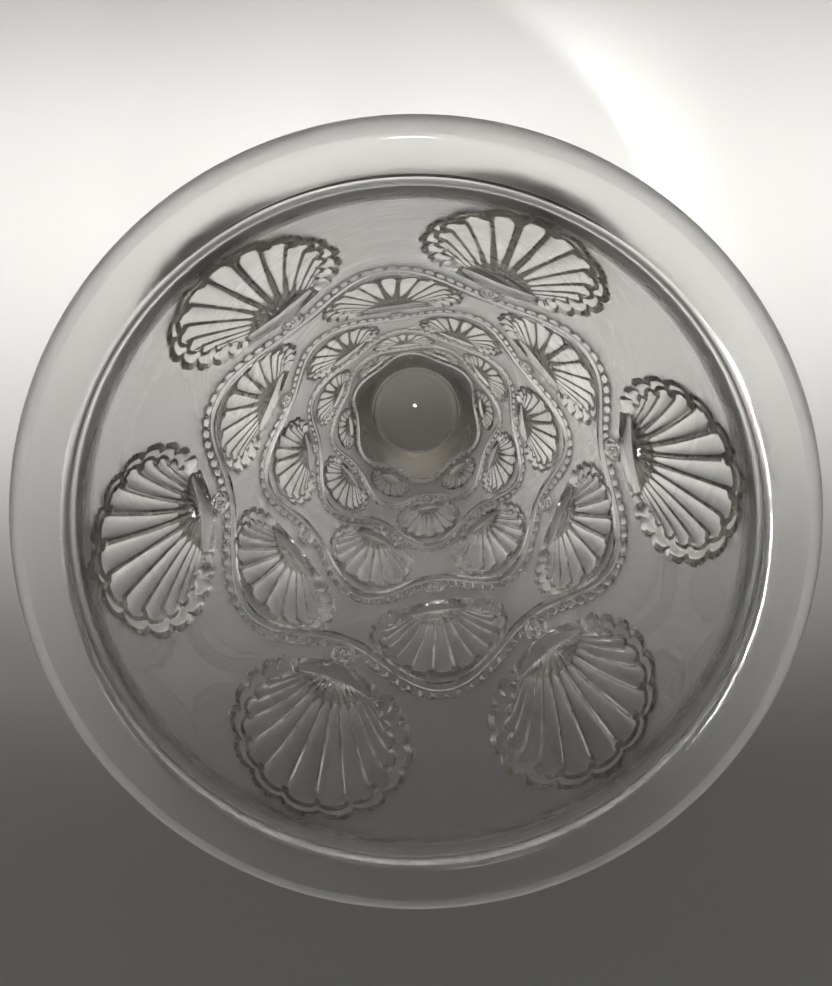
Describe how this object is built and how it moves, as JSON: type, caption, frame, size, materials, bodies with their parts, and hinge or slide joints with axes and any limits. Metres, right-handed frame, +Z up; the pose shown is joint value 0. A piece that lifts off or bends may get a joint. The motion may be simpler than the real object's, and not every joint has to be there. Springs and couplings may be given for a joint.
{
  "type": "pressed glass vase",
  "caption": "Tall flared vase in thick pressed glass, satin outside, with tiers of scallop shells and wavy beaded garlands in clear relief, a heavy rounded lip and a plain disc foot.",
  "frame": {"origin": "middle of the foot's flat underside, on the surface the vase stands on", "axes": "+Z up along the vase's axis of symmetry, out of the mouth; +X through the middle of one shell of the top tier"},
  "size_m": [0.26, 0.26, 0.295],
  "materials": {
    "satin_cone_glass": "polished inside, fine acid-satin ground outside",
    "polished_lip_glass": "glossy clear glass with a faint warm grey body and satin underside",
    "polished_foot_glass": "glossy clear glass with a ground flat underside",
    "relief_shell_glass": "fire-polished clear relief",
    "relief_garland_glass": "fire-polished clear relief"
  },
  "bodies": {
    "root": {"lip": "polished_lip_glass", "cone": "satin_cone_glass", "foot": "polished_foot_glass", "garland_1": "relief_garland_glass", "garland_2": "relief_garland_glass", "garland_3": "relief_garland_glass", "garland_4": "relief_garland_glass", "garland_5": "relief_garland_glass", "shell_1_1": "relief_shell_glass", "shell_1_2": "relief_shell_glass", "shell_1_3": "relief_shell_glass", "shell_1_4": "relief_shell_glass", "shell_1_5": "relief_shell_glass", "shell_1_6": "relief_shell_glass", "shell_2_1": "relief_shell_glass", "shell_2_2": "relief_shell_glass", "shell_2_3": "relief_shell_glass", "shell_2_4": "relief_shell_glass", "shell_2_5": "relief_shell_glass", "shell_2_6": "relief_shell_glass", "shell_3_1": "relief_shell_glass", "shell_3_2": "relief_shell_glass", "shell_3_3": "relief_shell_glass", "shell_3_4": "relief_shell_glass", "shell_3_5": "relief_shell_glass", "shell_3_6": "relief_shell_glass", "shell_4_1": "relief_shell_glass", "shell_4_2": "relief_shell_glass", "shell_4_3": "relief_shell_glass", "shell_4_4": "relief_shell_glass", "shell_4_5": "relief_shell_glass", "shell_4_6": "relief_shell_glass", "shell_5_1": "relief_shell_glass", "shell_5_2": "relief_shell_glass", "shell_5_3": "relief_shell_glass", "shell_5_4": "relief_shell_glass", "shell_5_5": "relief_shell_glass", "shell_5_6": "relief_shell_glass"}
  },
  "joints": []
}
